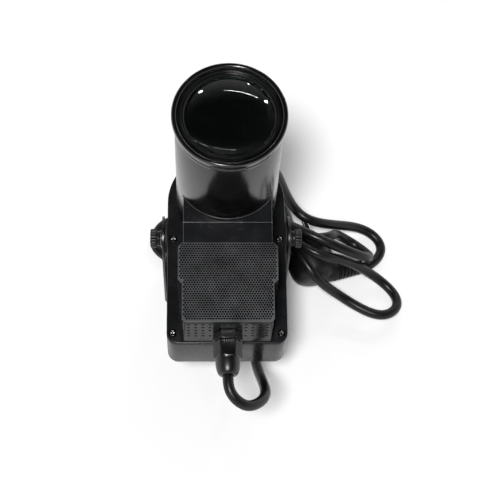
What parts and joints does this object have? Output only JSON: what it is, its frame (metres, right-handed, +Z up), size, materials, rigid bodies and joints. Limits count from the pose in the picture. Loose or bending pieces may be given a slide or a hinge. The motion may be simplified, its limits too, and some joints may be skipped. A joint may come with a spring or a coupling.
{
  "type": "pinspot light",
  "caption": "Black pinspot light: a long lens tube on a vented housing, tilting on a U-bracket with clamp knobs, with gland, cord and plug.",
  "frame": {"origin": "on the ground plane under the middle of the light without its cord", "axes": "X along the line through both clamp knobs, -Y towards the cable gland, +Z up, along the lens tube at rest"},
  "size_m": [0.178, 0.2227, 0.2265],
  "materials": {
    "housing_black": "satin black powder coat over die-cast aluminium",
    "tube_black": "semi-gloss black coat on rolled tube",
    "bezel_black": "gloss black coat on a turned ring",
    "lens_glass": "polished clear glass with a faint green edge",
    "ring_black": "black anodised, fine turned",
    "cover_black": "matt black perforated sheet",
    "rubber_black": "soft black rubber",
    "inner_plastic": "matt black moulded",
    "clear_plastic": "clear acrylic",
    "led_phosphor": "yellow phosphor under silicone",
    "led_board_white": "white solder mask on an aluminium board",
    "sink_aluminium": "plain extruded",
    "screw_steel": "zinc-plated steel",
    "screw_black_steel": "blackened steel",
    "pin_nickel": "nickel-plated brass",
    "insert_brass": "plain brass",
    "fan_plastic": "black moulded",
    "rotor_plastic": "black moulded",
    "board_green": "green glass-fibre board",
    "terminal_green": "green moulded",
    "transformer_yellow": "yellow tape over ferrite",
    "capacitor_sleeve": "dark sleeve",
    "gland_nylon": "satin black nylon",
    "bracket_powder_coat": "satin black powder coat over steel",
    "knob_black": "satin black moulded",
    "cord_rubber": "satin black rubber sheath",
    "plug_rubber": "matt black moulded rubber"
  },
  "bodies": {
    "bracket": {"u_bracket": "bracket_powder_coat", "friction_disc_left": "rubber_black", "friction_disc_right": "rubber_black", "knob_washer_left": "screw_steel", "knob_washer_right": "screw_steel", "cord_lead": "cord_rubber", "cord_loops": "cord_rubber", "plug_body": "plug_rubber", "plug_strain_relief": "plug_rubber", "plug_pin_1": "pin_nickel", "plug_pin_2": "pin_nickel", "plug_earth_clip_1": "screw_steel", "plug_earth_clip_2": "screw_steel"},
    "head": {"front_housing": "housing_black", "rear_housing": "housing_black", "lens_tube": "tube_black", "lens_bezel": "bezel_black", "front_lens": "lens_glass", "lens_gasket": "rubber_black", "lens_retaining_ring": "ring_black", "collimator_lens": "clear_plastic", "collimator_holder": "inner_plastic", "led_emitter": "led_phosphor", "led_board": "led_board_white", "heat_sink": "sink_aluminium", "heat_sink_screw_1": "screw_steel", "heat_sink_screw_2": "screw_steel", "heat_sink_screw_3": "screw_steel", "heat_sink_screw_4": "screw_steel", "mesh_cover": "cover_black", "fan_frame": "fan_plastic", "fan_screw_1": "screw_steel", "fan_screw_2": "screw_steel", "power_board": "board_green", "transformer": "transformer_yellow", "input_capacitor": "capacitor_sleeve", "output_capacitor": "capacitor_sleeve", "terminal_block": "terminal_green", "board_screw_1": "screw_steel", "board_screw_2": "screw_steel", "board_screw_3": "screw_steel", "board_screw_4": "screw_steel", "housing_screw_1": "screw_black_steel", "housing_screw_2": "screw_black_steel", "housing_screw_3": "screw_black_steel", "housing_screw_4": "screw_black_steel", "gland_body": "gland_nylon", "gland_locknut": "gland_nylon", "gland_dome_nut": "gland_nylon", "gland_seal": "rubber_black", "mains_lead_inner": "cord_rubber", "pivot_insert_left": "insert_brass", "pivot_insert_right": "insert_brass"},
    "fan": {"fan_rotor": "rotor_plastic"},
    "knob_left_body": {"knob_left": "knob_black", "knob_screw_left": "screw_steel"},
    "knob_right_body": {"knob_right": "knob_black", "knob_screw_right": "screw_steel"}
  },
  "joints": [
    {"name": "head_tilt", "type": "hinge", "parent": "bracket", "child": "head", "pos_m": [0, 0.0246, 0.085], "axis": [1, 0, 0], "range_deg": [-90, 45], "deforming": ["cord_lead"]},
    {"name": "fan_spin", "type": "hinge", "parent": "head", "child": "fan", "pos_m": [0, -0.0234, 0.125], "axis": [0, 0, 1], "continuous": true},
    {"name": "knob_left_turn", "type": "hinge", "parent": "head", "child": "knob_left_body", "pos_m": [0, 0.0246, 0.085], "axis": [1, 0, 0], "continuous": true},
    {"name": "knob_right_turn", "type": "hinge", "parent": "head", "child": "knob_right_body", "pos_m": [0, 0.0246, 0.085], "axis": [1, 0, 0], "continuous": true}
  ]
}
